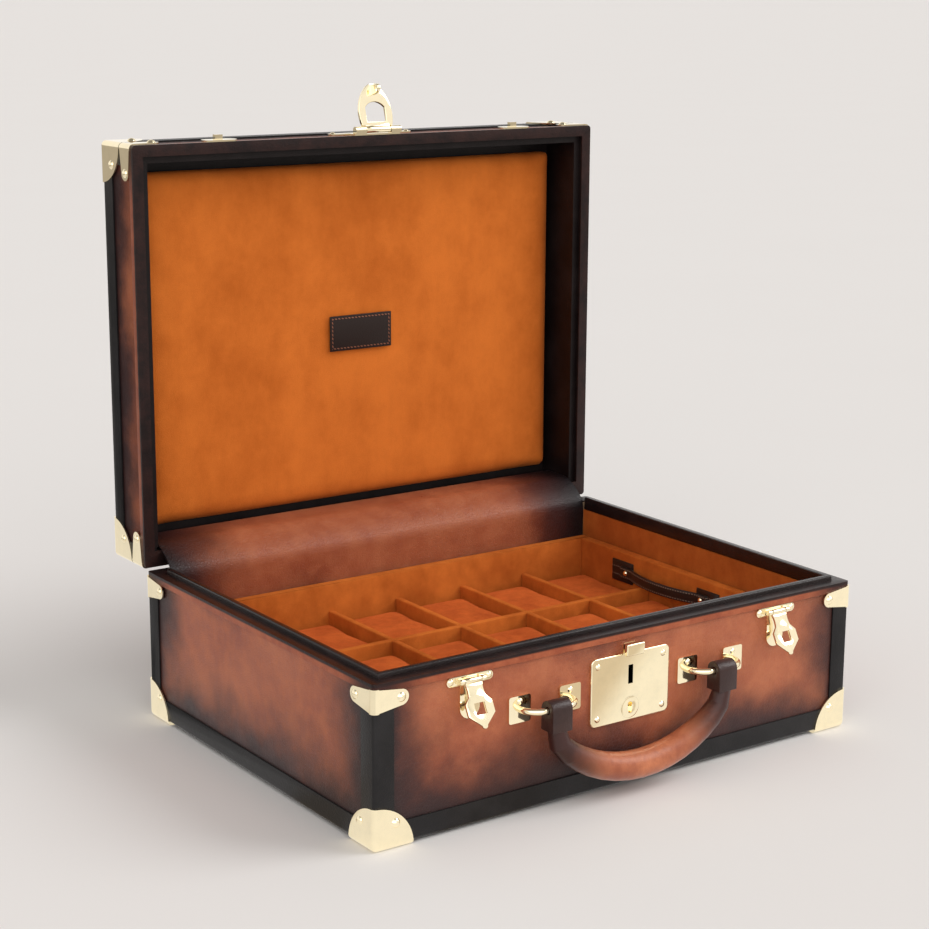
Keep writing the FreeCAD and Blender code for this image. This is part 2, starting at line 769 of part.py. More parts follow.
# Tray pulls
def tray_pulls():
    """A bowed strap on each end wall, its flat ends lapped over square tabs and riveted."""
    wall = INNER_X
    near = wall - STRAP_TAB_T
    face = near - STRAP_T
    crest = wall - STRAP_STAND
    low_y = STRAP_Y - STRAP_SPAN / 2
    high_y = STRAP_Y + STRAP_SPAN / 2
    band = outline(
        plane_xy,
        (near, low_y - STRAP_LAP),
        (near, low_y),
        (crest + STRAP_T, STRAP_Y, near, high_y),
        (near, high_y + STRAP_LAP),
        (face, high_y + STRAP_LAP),
        (face, high_y),
        (crest, STRAP_Y, face, low_y),
        (face, low_y - STRAP_LAP),
    )
    strap = plate(band, V(0, 0, STRAP_W))
    strap.translate(V(0, 0, STRAP_Z - STRAP_W / 2))
    rivets = []
    low = STRAP_Z - STRAP_TAB_H / 2
    for side, end in ((-1, low_y), (1, high_y)):
        ys = sorted((end, end + side * STRAP_TAB_L))
        strap = strap.fuse(box((near, wall), ys, (low, low + STRAP_TAB_H)))
        rivets.append(tack(V(face, end + side * STRAP_LAP / 2, STRAP_Z), -X_AXIS))
    strap = strap.removeSplitter()
    left = [piece.mirror(V(0, 0, 0), X_AXIS) for piece in rivets]
    save("tray_pull_straps", group((strap, strap.mirror(V(0, 0, 0), X_AXIS))))
    save("tray_pull_rivets", group((*rivets, *left)))


# Lock
def keyhole(depth):
    """A round hole with a slot hanging from it, cut from the front."""
    front = LOCK_FACE - 1
    hole = rod(KEYHOLE_R, V(0, front, PLUG_Z + KEYHOLE_R), Y_AXIS, depth + 1)
    low = PLUG_Z + KEYHOLE_R - KEYHOLE_L
    half = KEYHOLE_W / 2
    return hole.fuse(box((-half, half), (front, front + depth + 1), (low, PLUG_Z + KEYHOLE_R)))


def button_stem(gap, start, end):
    w = STEM_W / 2 + gap
    h = STEM_H / 2 + gap
    return box((-w, w), (start, end), (BUTTON_Z - h, BUTTON_Z + h))


def lock():
    face = rounded_rectangle(LOCK_W, LOCK_H, LOCK_CORNER, 0)
    sheet = plate(face, V(0, 0, LOCK_T))
    rim = [edge for edge in sheet.Edges if all(abs(p.Z - LOCK_T) < 1e-6 for p in edge.Vertexes)]
    sheet = sheet.makeFillet(LOCK_T * 0.4, rim)
    sheet.rotate(V(0, 0, 0), X_AXIS, 90)
    sheet.translate(V(0, FRONT, LOCK_Z))
    tongue_half = BUTTON_W / 2 - 1
    tongue_top = BUTTON_Z + STEM_H / 2 + CASE_WALL
    sheet = sheet.fuse(box((-tongue_half, tongue_half), (LOCK_FACE, FRONT), (LOCK_Z, tongue_top)))
    slot = box((-SLOT_W / 2, SLOT_W / 2), (LOCK_FACE, FRONT), (SLOT_TOP - SLOT_H, SLOT_TOP))
    plug_hole = rod(PLUG_R + PLUG_GAP, V(0, LOCK_FACE, PLUG_Z), Y_AXIS, LOCK_T)
    sheet = sheet.cut(slot).cut(plug_hole).cut(button_stem(STEM_GAP, LOCK_FACE, FRONT))
    save("lock_plate", sheet.removeSplitter())

    save("lock_case", lock_hollow(0, FRONT).cut(lock_hollow(CASE_WALL, FRONT)))

    head = rod(PLUG_R, V(0, LOCK_FACE, PLUG_Z), Y_AXIS, LOCK_T - PLUG_GAP)
    plug = rod(PLUG_BARREL_R, V(0, LOCK_FACE, PLUG_Z), Y_AXIS, PLUG_L).fuse(head)
    plug = plug.cut(keyhole(PLUG_L - CASE_WALL))
    turn = math.radians(CRANK_TURN)
    pin_x = -CRANK_R * math.sin(turn)
    pin_z = PLUG_Z + CRANK_R * math.cos(turn)
    plug_back = LOCK_FACE + PLUG_L
    tail_back = FRONT + LOCK_CASE_D - CASE_WALL - PLUG_GAP
    pin = rod(CRANK_PIN_R, V(pin_x, plug_back, pin_z), Y_AXIS, tail_back - plug_back)
    save("lock_plug", plug.fuse(pin))

    half = BOLT_H / 2
    end = -SLOT_W / 2 - BOLT_HOME
    level = (STAPLE_Z - half, STAPLE_Z + half)
    bar = box((end - BOLT_L, end), (BOLT_FRONT, BOLT_FRONT + BOLT_T), level)
    link = box((end - BOLT_L, end - BOLT_L + 2 * BOLT_H), (BOLT_FRONT, tail_back), level)
    track = CRANK_PIN_R + CRANK_SLOT
    tail = track + CASE_WALL
    sheet = (tail_back - CASE_WALL, tail_back)
    arm = box((end - BOLT_L, pin_x + tail), sheet, level)
    leg = box((pin_x - tail, pin_x + tail), sheet, (pin_z - tail, STAPLE_Z + half))
    groove = box((pin_x - track, pin_x + track), sheet, (pin_z - track, PLUG_Z + CRANK_R + track))
    save("lock_bolt", bar.fuse(link).fuse(arm).fuse(leg).cut(groove).removeSplitter())

    back = LOCK_FACE - BUTTON_LIFT
    w = BUTTON_W / 2
    h = BUTTON_H / 2
    front = back - BUTTON_T
    cap = box((-w, w), (front, back), (BUTTON_Z - h, BUTTON_Z + h))
    rim = [edge for edge in cap.Edges if all(abs(p.Y - front) < 1e-6 for p in edge.Vertexes)]
    cap = cap.makeFillet(BUTTON_T * 0.25, rim)
    stem_end = FRONT + LOCK_CASE_D / 2
    save("lock_button", cap.fuse(button_stem(0, back, stem_end)))


def lock_nails():
    heads = []
    for sx in SIDES:
        for sz in SIDES:
            x = sx * (LOCK_W / 2 - LOCK_NAIL_IN)
            z = LOCK_Z + sz * (LOCK_H / 2 - LOCK_NAIL_IN)
            heads.append(tack(V(x, LOCK_FACE, z), -Y_AXIS))
    return heads


# Clasps
def clasp_plate(centre):
    """A T-shaped plate with a rounded foot and two knuckles for the lever."""
    ear = CLASP_EAR_W / 2
    ear_r = CLASP_EAR_H / 2
    low_ear = CLASP_TOP - CLASP_EAR_H
    half = CLASP_PLATE_W / 2
    low = CLASP_TOP - CLASP_PLATE_H
    foot = low + half
    wire = outline(
        plane_xz,
        (-half, foot),
        (0, low, half, foot),
        (half, low_ear),
        (ear - ear_r, low_ear),
        (ear, low_ear + ear_r, ear - ear_r, CLASP_TOP),
        (ear_r - ear, CLASP_TOP),
        (-ear, low_ear + ear_r, ear_r - ear, low_ear),
        (-half, low_ear),
    )
    sheet = plate(wire, V(0, -CLASP_T, 0))
    sheet.translate(V(0, FRONT, 0))
    inner = CLASP_BARREL_W / 2 + KNUCKLE_GAP
    outer = inner + CLASP_KNUCKLE_W
    for sx in SIDES:
        span = sorted((sx * inner, sx * outer))
        level = (CLASP_PIVOT_Z - CLASP_BARREL_R, CLASP_PIVOT_Z + CLASP_BARREL_R)
        post = box(span, (CLASP_PIVOT_Y, FRONT - CLASP_T), level)
        sheet = sheet.fuse(post).fuse(rod_x(CLASP_BARREL_R, span, CLASP_PIVOT_Y, CLASP_PIVOT_Z))
    bore = rod_x(CLASP_PIN_R + PIN_GAP, (-outer, outer), CLASP_PIVOT_Y, CLASP_PIVOT_Z)
    sheet = sheet.cut(bore).removeSplitter()
    sheet.translate(V(centre, 0, 0))
    return sheet


def clasp_lever(centre):
    """A waisted lever with a square window and a pointed tip, hung on its barrel and tilted out."""
    barrel = CLASP_BARREL_W / 2
    clear = CLASP_BARREL_R + KNUCKLE_GAP
    waist = LEVER_WINDOW_TOP - 4
    tip = LEVER_L - 2
    wire = outline(
        plane_xz,
        (-barrel, 0),
        (-barrel, -clear),
        (-LEVER_NECK, -clear),
        (-LEVER_NECK + 0.6, -waist / 2 - 1, -LEVER_NECK, -waist),
        (-LEVER_WIDE, -LEVER_WINDOW_TOP),
        (-LEVER_WIDE, -LEVER_WINDOW_LOW),
        (-2, -tip),
        (0, -LEVER_L, 2, -tip),
        (LEVER_WIDE, -LEVER_WINDOW_LOW),
        (LEVER_WIDE, -LEVER_WINDOW_TOP),
        (LEVER_NECK, -waist),
        (LEVER_NECK - 0.6, -waist / 2 - 1, LEVER_NECK, -clear),
        (barrel, -clear),
        (barrel, 0),
    )
    lever = plate(wire, V(0, LEVER_T, 0))
    lever.translate(V(0, -LEVER_T / 2, 0))
    w = LEVER_WINDOW_W / 2
    lever = lever.cut(box((-w, w), (-LEVER_T, LEVER_T), (-LEVER_WINDOW_LOW, -LEVER_WINDOW_TOP)))
    lever = lever.fuse(rod_x(CLASP_BARREL_R, (-barrel, barrel), 0, 0))
    lever = lever.cut(rod_x(CLASP_PIN_R + PIN_GAP, (-barrel, barrel), 0, 0)).removeSplitter()
    lever.rotate(V(0, 0, 0), X_AXIS, -LEVER_TILT)
    lever.translate(V(centre, CLASP_PIVOT_Y, CLASP_PIVOT_Z))
    return lever


def clasp_strike(centre):
    """The lid's plate, stepped over the binding, with a nib that the lever's window drops over."""
    half = STRIKE_W / 2
    nib_z = CLASP_PIVOT_Z + (LEVER_WINDOW_TOP + LEVER_WINDOW_LOW) / 2
    low = LID_LOW + KNUCKLE_GAP
    top = nib_z + STRIKE_EDGE
    corner = (top - low) / 2
    wire = outline(
        plane_xz,
        (corner - half, low),
        (half - corner, low),
        (half, low + corner, half - corner, top),
        (corner - half, top),
        (-half, low + corner, corner - half, low),
    )
    sheet = plate(wire, V(0, -PLATE, 0))
    sheet.translate(V(0, BINDING_FRONT, 0))
    seat = plate(wire, V(0, -TRIM, 0))
    seat.translate(V(0, FRONT, 0))
    seat = seat.cut(box((-half, half), (BINDING_FRONT, FRONT), (LID_LOW, LID_LOW + BINDING_H)))
    nib = box(
        (-NIB_W / 2, NIB_W / 2),
        (BINDING_FRONT - PLATE - NIB_OUT, BINDING_FRONT - PLATE),
        (nib_z - NIB_H / 2, nib_z + NIB_H / 2),
    )
    strike = sheet.fuse(seat).fuse(nib).removeSplitter()
    strike.translate(V(centre, 0, 0))
    return strike


def clasps():
    save("clasp_plates", group(clasp_plate(centre) for centre in (-CLASP_X, CLASP_X)))
    save("clasp_lever_left", clasp_lever(-CLASP_X))
    save("clasp_lever_right", clasp_lever(CLASP_X))
    save("lid_strikes", opened(group(clasp_strike(centre) for centre in (-CLASP_X, CLASP_X))))


def clasp_nails():
    heads = []
    level = CLASP_TOP - CLASP_EAR_H / 2
    for centre in (-CLASP_X, CLASP_X):
        for sx in SIDES:
            x = centre + sx * (CLASP_EAR_W - CLASP_EAR_H) / 2
            heads.append(tack(V(x, FRONT - CLASP_T, level), -Y_AXIS))
    return heads


def pivot_pins():
    """The pins of both hinges and both clasps, all held by the base."""
    pins = []
    for centre in (-HINGE_X, HINGE_X):
        span = (centre - HINGE_W / 2, centre + HINGE_W / 2)
        pins.append(rod_x(HINGE_PIN_R, span, HINGE_Y, HINGE_Z))
    reach = CLASP_BARREL_W / 2 + KNUCKLE_GAP + CLASP_KNUCKLE_W
    for centre in (-CLASP_X, CLASP_X):
        pins.append(rod_x(CLASP_PIN_R, (centre - reach, centre + reach), CLASP_PIVOT_Y, CLASP_PIVOT_Z))
    save("pivot_pins", group(pins))


# Hasp
def hasp():
    """An arched loop with a window over the lock button and a round-ended staple near its tip."""
    barrel = HASP_BARREL_W / 2
    clear = HASP_BARREL_R + KNUCKLE_GAP
    tip = HASP_REACH - HASP_TIP / 2
    side = (HASP_WINDOW_TOP + HASP_WINDOW_LOW) / 2
    wire = outline(
        plane_xz,
        (-barrel, 0),
        (-barrel, -clear),
        (-HASP_FOOT, -clear),
        (-HASP_HALF, -side, -HASP_TIP, -tip),
        (0, -HASP_REACH, HASP_TIP, -tip),
        (HASP_HALF, -side, HASP_FOOT, -clear),
        (barrel, -clear),
        (barrel, 0),
    )
    loop = plate(wire, V(0, HASP_T, 0))
    loop.translate(V(0, -HASP_T / 2, 0))
    w = HASP_WINDOW_W / 2
    shoulder = HASP_WINDOW_LOW - w / 2
    window = outline(
        plane_xz,
        (-w, -HASP_WINDOW_TOP),
        (-w, -shoulder),
        (0, -HASP_WINDOW_LOW, w, -shoulder),
        (w, -HASP_WINDOW_TOP),
    )
    opening = plate(window, V(0, 2 * HASP_T, 0))
    opening.translate(V(0, -HASP_T, 0))
    s = STAPLE_W / 2
    eye_z = BOLT_H / 2 + EYE_GAP
    eye_y = (BOLT_FRONT - EYE_GAP - HASP_PIVOT_Y, BOLT_FRONT + BOLT_T + EYE_GAP - HASP_PIVOT_Y)
    level = STAPLE_Z - HASP_PIVOT_Z
    round_y = eye_y[1] + STAPLE_WALL - STAPLE_HALF
    staple = box((-s, s), (HASP_T / 2, round_y), (level - STAPLE_HALF, level + STAPLE_HALF))
    staple = staple.fuse(rod_x(STAPLE_HALF, (-s, s), round_y, level))
    staple = staple.common(box((-s, s), (HASP_T / 2, -HASP_PIVOT_Y), (-HASP_REACH, 0)))
    eye = box((-s, s), eye_y, (level - eye_z, level + eye_z))
    body = loop.cut(opening).fuse(staple.cut(eye))
    body = body.fuse(rod_x(HASP_BARREL_R, (-barrel, barrel), 0, 0))
    body = body.cut(rod_x(HASP_PIN_R + PIN_GAP, (-barrel, barrel), 0, 0)).removeSplitter()
    body.rotate(V(0, 0, 0), X_AXIS, -HASP_LEAN)
    body.translate(V(0, HASP_PIVOT_Y, HASP_PIVOT_Z))
    save("hasp", opened(body))

    half = HASP_PLATE_W / 2
    low = LID_LOW + KNUCKLE_GAP
    top = low + HASP_PLATE_H
    inner = barrel + KNUCKLE_GAP
    outer = inner + HASP_KNUCKLE_W
    ear = HASP_PLATE_H / 4
    ear_low = top - 2 * ear
    outline_xz = outline(
        plane_xz,
        (-outer, low),
        (outer, low),
        (outer, ear_low),
        (half - ear, ear_low),
        (half, ear_low + ear, half - ear, top),
        (ear - half, top),
        (-half, ear_low + ear, ear - half, ear_low),
        (-outer, ear_low),
    )
    sheet = plate(outline_xz, V(0, -PLATE, 0))
    sheet.translate(V(0, BINDING_FRONT, 0))
    seat = plate(outline_xz, V(0, -TRIM, 0))
    seat.translate(V(0, FRONT, 0))
    seat = seat.cut(box((-half, half), (BINDING_FRONT, FRONT), (LID_LOW, LID_LOW + BINDING_H)))
    body = sheet.fuse(seat)
    for sx in SIDES:
        span = sorted((sx * inner, sx * outer))
        level = (HASP_PIVOT_Z - HASP_BARREL_R, HASP_PIVOT_Z + HASP_BARREL_R)
        post = box(span, (HASP_PIVOT_Y, BINDING_FRONT - PLATE), level)
        body = body.fuse(post).fuse(rod_x(HASP_BARREL_R, span, HASP_PIVOT_Y, HASP_PIVOT_Z))
    body = body.cut(rod_x(HASP_PIN_R + PIN_GAP, (-outer, outer), HASP_PIVOT_Y, HASP_PIVOT_Z))
    save("hasp_plate", opened(body.removeSplitter()))
    save("hasp_pin", opened(rod_x(HASP_PIN_R, (-outer, outer), HASP_PIVOT_Y, HASP_PIVOT_Z)))


def hasp_nails():
    level = LID_LOW + KNUCKLE_GAP + HASP_PLATE_H * 0.75
    x = HASP_PLATE_W / 2 - HASP_PLATE_H / 4
    return [tack(V(sx * x, BINDING_FRONT - PLATE, level), -Y_AXIS) for sx in SIDES]


# Carrying handle
def handle_bow(centre):
    """Two square feet joined by a round staple with a straight crest."""
    crest = LOOP_W / 2 + BOW_GAP
    foot_x = crest + BOW_BEND
    corner = BOW_BEND * (1 - math.sqrt(0.5))
    points = [
        V(-foot_x, 0, 0),
        V(-foot_x, -BOW_RISE, 0),
        V(-crest, -HANDLE_STAND, 0),
        V(crest, -HANDLE_STAND, 0),
        V(foot_x, -BOW_RISE, 0),
        V(foot_x, 0, 0),
    ]
    bend_1 = V(-foot_x + corner, -HANDLE_STAND + corner, 0)
    bend_2 = V(foot_x - corner, -HANDLE_STAND + corner, 0)
    path = Part.Wire(
        [
            Part.LineSegment(points[0], points[1]).toShape(),
            Part.Arc(points[1], bend_1, points[2]).toShape(),
            Part.LineSegment(points[2], points[3]).toShape(),
            Part.Arc(points[3], bend_2, points[4]).toShape(),
            Part.LineSegment(points[4], points[5]).toShape(),
        ]
    )
    ring = Part.Wire(Part.Circle(points[0], -Y_AXIS, BOW_R).toShape())
    bow = path.makePipeShell([ring], True, True)
    for sx in SIDES:
        across = (sx * foot_x - FOOT_W / 2, sx * foot_x + FOOT_W / 2)
        foot = box(across, (-FOOT_T, 0), (-FOOT_H / 2, FOOT_H / 2))
        uprights = [
            edge for edge in foot.Edges if abs(edge.Vertexes[0].Y - edge.Vertexes[1].Y) > FOOT_T / 2
        ]
        bow = bow.fuse(foot.makeFillet(FOOT_T, uprights))
    bow = bow.removeSplitter()
    bow.translate(V(centre, FRONT, HANDLE_Z))
    return bow


def grip_station(share):
    """A point and direction on the grip's centre line, in x and z, for a share from 0 to 1."""
    half = HANDLE_SPAN / 2
    depth = HANDLE_DROP - LOOP_L
    reach = half - HANDLE_SIDE_R
    spare = depth - HANDLE_SIDE_R
    lift = (reach**2 - spare**2) / (2 * spare)
    bottom_r = depth + lift
    sweep = math.atan2(reach, lift)
    side_turn = math.pi / 2 - sweep
    side_length = HANDLE_SIDE_R * side_turn
    total = 2 * side_length + 2 * bottom_r * sweep
    at = min(share, 1 - share) * total
    side = -1 if share <= 0.5 else 1
    start_z = HANDLE_Z - LOOP_L
    if at < side_length:
        turn = at / HANDLE_SIDE_R
        x = reach + HANDLE_SIDE_R * math.cos(turn)
        z = start_z - HANDLE_SIDE_R * math.sin(turn)
        slope = turn
    else:
        turn = (at - side_length) / bottom_r - sweep
        x = -bottom_r * math.sin(turn)
        z = start_z + lift - bottom_r * math.cos(turn)
        slope = math.pi / 2 + turn
    heading = V(math.sin(slope), 0, -math.cos(slope) if side < 0 else math.cos(slope))
    return V(side * x, HANDLE_Y, z), heading


def handle():
    half = HANDLE_SPAN / 2
    save("handle_bows", group(handle_bow(centre) for centre in (-half, half)))

    rings = []
    for index in range(GRIP_SECTIONS):
        share = index / (GRIP_SECTIONS - 1)
        centre, heading = grip_station(share)
        fullness = math.sin(math.pi * share) ** 0.7
        radius = GRIP_END_R + (GRIP_R - GRIP_END_R) * fullness
        ring = Part.Wire(Part.Circle(V(0, 0, 0), Z_AXIS, radius).toShape())
        side = Y_AXIS.cross(heading)
        turn = FreeCAD.Matrix(
            Y_AXIS.x, -side.x, heading.x, centre.x,
            Y_AXIS.y, -side.y, heading.y, centre.y,
            Y_AXIS.z, -side.z, heading.z, centre.z,
            0, 0, 0, 1,
        )
        ring.Placement = FreeCAD.Placement(turn)
        rings.append(ring)
    save("handle_grip", Part.makeLoft(rings, True, True))

    loops = []
    for centre in (-half, half):
        span = (centre - LOOP_W / 2, centre + LOOP_W / 2)
        wrap = box(span, (HANDLE_Y - LOOP_R, HANDLE_Y + LOOP_R), (HANDLE_Z - LOOP_L, HANDLE_Z))
        wrap = wrap.fuse(rod_x(LOOP_R, span, HANDLE_Y, HANDLE_Z))
        wrap = wrap.cut(rod_x(BOW_R + BOW_GAP, span, HANDLE_Y, HANDLE_Z))
        loops.append(wrap.removeSplitter())
    save("handle_end_loops", group(loops))


def handle_nails():
    """One nail in each foot, beside the staple and above it."""
    foot_x = LOOP_W / 2 + BOW_GAP + BOW_BEND
    level = HANDLE_Z + FOOT_H / 2 - TACK_R - FOOT_T
    heads = []
    for centre in (-HANDLE_SPAN / 2, HANDLE_SPAN / 2):
        for sx in SIDES:
            heads.append(tack(V(centre + sx * foot_x, FRONT - FOOT_T, level), -Y_AXIS))
    return heads


def nails():
    base = corner_nails(CAP_NAIL_UP, BASE_H - BRACKET_END_DROP)
    base += lock_nails() + clasp_nails() + handle_nails() + hinge_nails(-1)
    save("base_nails", group(base))
    lid = corner_nails(LID_TOP + BRASS - CAP_NAIL_UP, LID_LOW + BRACKET_END_DROP)
    save("lid_nails", opened(group(lid + hasp_nails() + hinge_nails(1))))


os.makedirs("parts", exist_ok=True)
base_boards()
base_leather()
base_bottom_pad()
base_edge_trim()
rims()
brass_corners()
base_linings()
lid_boards()
lid_leather()
lid_edge_trim()
lid_inside()
hinges()
tray()
cushions()
tray_pulls()
lock()
clasps()
pivot_pins()
hasp()
handle()
nails()
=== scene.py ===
import bpy
import math
from mathutils import Matrix, Vector


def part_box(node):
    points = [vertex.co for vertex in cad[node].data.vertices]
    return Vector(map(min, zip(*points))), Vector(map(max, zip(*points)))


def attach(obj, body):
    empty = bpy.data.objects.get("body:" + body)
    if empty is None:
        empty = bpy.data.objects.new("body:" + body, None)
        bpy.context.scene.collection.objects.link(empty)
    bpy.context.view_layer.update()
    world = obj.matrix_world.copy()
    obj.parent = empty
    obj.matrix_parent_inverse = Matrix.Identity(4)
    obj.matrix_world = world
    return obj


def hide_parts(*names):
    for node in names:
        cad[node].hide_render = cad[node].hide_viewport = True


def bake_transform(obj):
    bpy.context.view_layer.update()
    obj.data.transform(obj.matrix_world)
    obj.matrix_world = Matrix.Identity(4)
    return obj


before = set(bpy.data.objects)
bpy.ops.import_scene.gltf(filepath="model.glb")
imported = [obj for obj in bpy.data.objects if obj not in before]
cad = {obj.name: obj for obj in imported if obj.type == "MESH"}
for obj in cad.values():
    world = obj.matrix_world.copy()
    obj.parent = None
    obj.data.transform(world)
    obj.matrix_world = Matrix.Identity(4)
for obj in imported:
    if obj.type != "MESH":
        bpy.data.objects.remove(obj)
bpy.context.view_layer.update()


# Boards of the base
# Thin poplar boards glued into an open box. The leather and the suede hide
# nearly all of them, so they only need an honest raw wood grain.
class Socket:
    """A socket of a finish. Sums written with it become Math nodes."""

    def __init__(self, tree, socket=None):
        self.tree = tree
        self.socket = socket

    def node(self, kind, settings=None, sockets=None, out=0):
        """Adds any node: its settings first, then the values or links of its sockets."""
        made = self.tree.nodes.new(kind)
        for key, value in (settings or {}).items():
            setattr(made, key, value)
        for key, value in (sockets or {}).items():
            if isinstance(value, Socket):
                self.tree.links.new(value.socket, made.inputs[key])
            else:
                made.inputs[key].default_value = value
        return Socket(self.tree, made.outputs[out])

    def sum(self, operation, first, second=0.0):
        return self.node("ShaderNodeMath", {"operation": operation}, {0: first, 1: second})

    def __add__(self, other):
        return self.sum("ADD", self, other)

    __radd__ = __add__

    def __sub__(self, other):
        return self.sum("SUBTRACT", self, other)

    def __rsub__(self, other):
        return self.sum("SUBTRACT", other, self)

    def __mul__(self, other):
        return self.sum("MULTIPLY", self, other)

    __rmul__ = __mul__

    def __abs__(self):
        return self.sum("ABSOLUTE", self)

    def least(self, other):
        return self.sum("MINIMUM", self, other)

    def step(self, low, high):
        """0 before low, 1 past high and smooth between; low may be the larger one."""
        settings = {"interpolation_type": "SMOOTHSTEP"}
        return self.node("ShaderNodeMapRange", settings, {0: self, 1: low, 2: high})

    def stitches(self, rate, low, high):
        """Dashes along this value, from a sine wave cut between two levels."""
        wave = self * rate
        return wave.sum("SINE", wave).step(low, high)

    def between(self, first, second):
        """Mixes two colours by this value."""
        sides = []
        for colour in (first, second):
            sides.append(colour if isinstance(colour, Socket) else (*colour, 1))
        sockets = {0: self, 6: sides[0], 7: sides[1]}
        return self.node("ShaderNodeMix", {"data_type": "RGBA"}, sockets, 2)

    def axis(self, name):
        return self.node("ShaderNodeSeparateXYZ", None, {0: self}, name)

    def cloud(self, scale, detail=4.0, rough=0.55, stretch=None):
        """Soft noise over this place, stretched along the axes."""
        place = self
        if stretch:
            sockets = {0: self, 1: stretch}
            place = self.node("ShaderNodeVectorMath", {"operation": "MULTIPLY"}, sockets)
        sockets = {"Vector": place, "Scale": scale, "Detail": detail, "Roughness": rough}
        return self.node("ShaderNodeTexNoise", None, sockets)

    def cells(self, scale, feature="F1"):
        sockets = {"Vector": self, "Scale": scale}
        return self.node("ShaderNodeTexVoronoi", {"feature": feature}, sockets)


def new_finish(name, spec=None, **fixed):
    """An empty finish: its material, its shader and the place on the piece."""
    material = bpy.data.materials.new(name)
    material.use_nodes = True
    tree = material.node_tree
    shader = tree.nodes["Principled BSDF"]
    if spec is not None:
        shader.inputs["Specular IOR Level"].default_value = spec
    for key, value in fixed.items():
        shader.inputs[key.replace("_", " ").title()].default_value = value
    return material, shader, Socket(tree).node("ShaderNodeTexCoord", out="Object")


def lay_on(shader, colour, rough, height, depth):
    """Gives the shader its colour, its gloss and its relief in metres."""
    tree = colour.tree
    tree.links.new(colour.socket, shader.inputs["Base Color"])
    tree.links.new(rough.socket, shader.inputs["Roughness"])
    sockets = {"Height": height, "Strength": 1.0, "Distance": depth}
    bump = height.node("ShaderNodeBump", None, sockets)
    tree.links.new(bump.socket, shader.inputs["Normal"])


def dress(piece, material):
    piece.data.materials.clear()
    piece.data.materials.append(material)


def cover(names, material):
    """Shows CAD pieces as they are, in one finish."""
    for name in names:
        dress(cad[name], material)


WOOD_PALE = (0.50, 0.36, 0.22)
WOOD_DARK = (0.36, 0.24, 0.14)
board_wood, shader, place = new_finish("board_wood")
grain = place.cloud(60, stretch=(0.08, 1, 1))
tone = grain.between(WOOD_PALE, WOOD_DARK)
lay_on(shader, tone, rough=grain * 0.15 + 0.6, height=grain, depth=0.0004)
cover(("base_floor_board", "base_front_board", "base_back_board"), board_wood)
cover(("base_left_board", "base_right_board"), board_wood)


# Leather skins of the base
# Vegetable-tanned calf glued over the boards and dyed by hand: warm tan in the
# middle of each panel, burnished through red-brown to black at its edges.
PATINA_TAN = (0.43, 0.120, 0.052)
PATINA_PALE = (0.50, 0.160, 0.071)
PATINA_RED = (0.30, 0.068, 0.030)
PATINA_BURNT = (0.045, 0.014, 0.012)
PATINA_BLACK = (0.010, 0.007, 0.008)


def shaded(colour, shade):
    return tuple(part * shade for part in colour)


def patina(name, side, rise, half, low, high, soft=0.055, spec=0.34, gloss=0.34, shade=1.0):
    """Dyed leather on a panel: half its width on one axis, low to high on the other."""
    material, shader, place = new_finish(name, spec)
    across = abs(place.axis(side))
    up = place.axis(rise)
    brush = place.cloud(26, 5.0, 0.6)
    wash = place.cloud(9, 3.0, 0.5)
    drift = (brush - 0.5) * 0.045 + (wash - 0.5) * 0.06
    margin = (half - across).least((up - low).least(high - up))
    centre = (margin + drift).step(0.004, soft)
    rim = (margin + drift * 0.6).step(-0.012, 0.016)
    mottle = place.cloud(70, 6.0, 0.7).step(0.32, 0.72)
    red, warm, pale = (shaded(c, shade) for c in (PATINA_RED, PATINA_TAN, PATINA_PALE))
    tan = mottle.between(red, warm)
    tan = wash.step(0.35, 0.7).between(tan, mottle.between(warm, pale))
    worn = centre.between(PATINA_BURNT, tan)
    dyed = rim.between(PATINA_BLACK, worn)
    pore = place.cells(1500)
    crease = place.cells(420, "DISTANCE_TO_EDGE").step(0.0, 0.10)
    scratch = place.cloud(300, 3.0, 0.6, stretch=(1, 1, 0.12))
    relief = pore * 0.35 + crease * 0.5 + scratch * 0.3
    lay_on(shader, dyed, gloss + mottle * 0.12 + scratch * 0.06, relief, depth=0.00022)
    return material


case_ends = patina("patina_front_and_back", "X", "Z", half=0.188, low=0.012, high=0.140)
case_sides = patina("patina_sides", "Y", "Z", half=0.140, low=0.014, high=0.150)
cover(("base_front_leather", "base_back_leather"), case_ends)
cover(("base_side_leathers",), case_sides)


# Bottom sheet and black edge trims
# Black box calf, glued under the floor and folded along the foot and up the
# corners.
CALF_BLACK = (0.010, 0.0088, 0.0090)
CALF_PEBBLE = 1100
CALF_RELIEF = 0.00016
WELD = 0.000004
FLAT = math.radians(1)
ANY_SHAPE = math.radians(180)
SHARP = math.radians(35)
SHADED_AS_SHARP = math.radians(38)


def box_calf(name, colour, gloss, spec=0.22):
    """Smooth dyed leather with a fine pebble."""
    material, shader, place = new_finish(name, spec)
    pebble = place.cells(CALF_PEBBLE, "SMOOTH_F1")
    swell = place.cloud(45, 4.0, 0.6)
    pale = tuple(part * 1.9 + 0.003 for part in colour)
    tone = (swell.step(0.35, 0.75) * 0.7).between(colour, pale)
    lay_on(shader, tone, gloss + swell * 0.16, pebble + swell * 1.4, CALF_RELIEF)
    return material


def applied(piece, kind, **settings):
    """Adds a modifier to the active piece and applies it."""
    modifier = piece.modifiers.new(kind.lower(), kind)
    for key, value in settings.items():
        setattr(modifier, key, value)
    bpy.ops.object.modifier_apply(modifier=modifier.name)


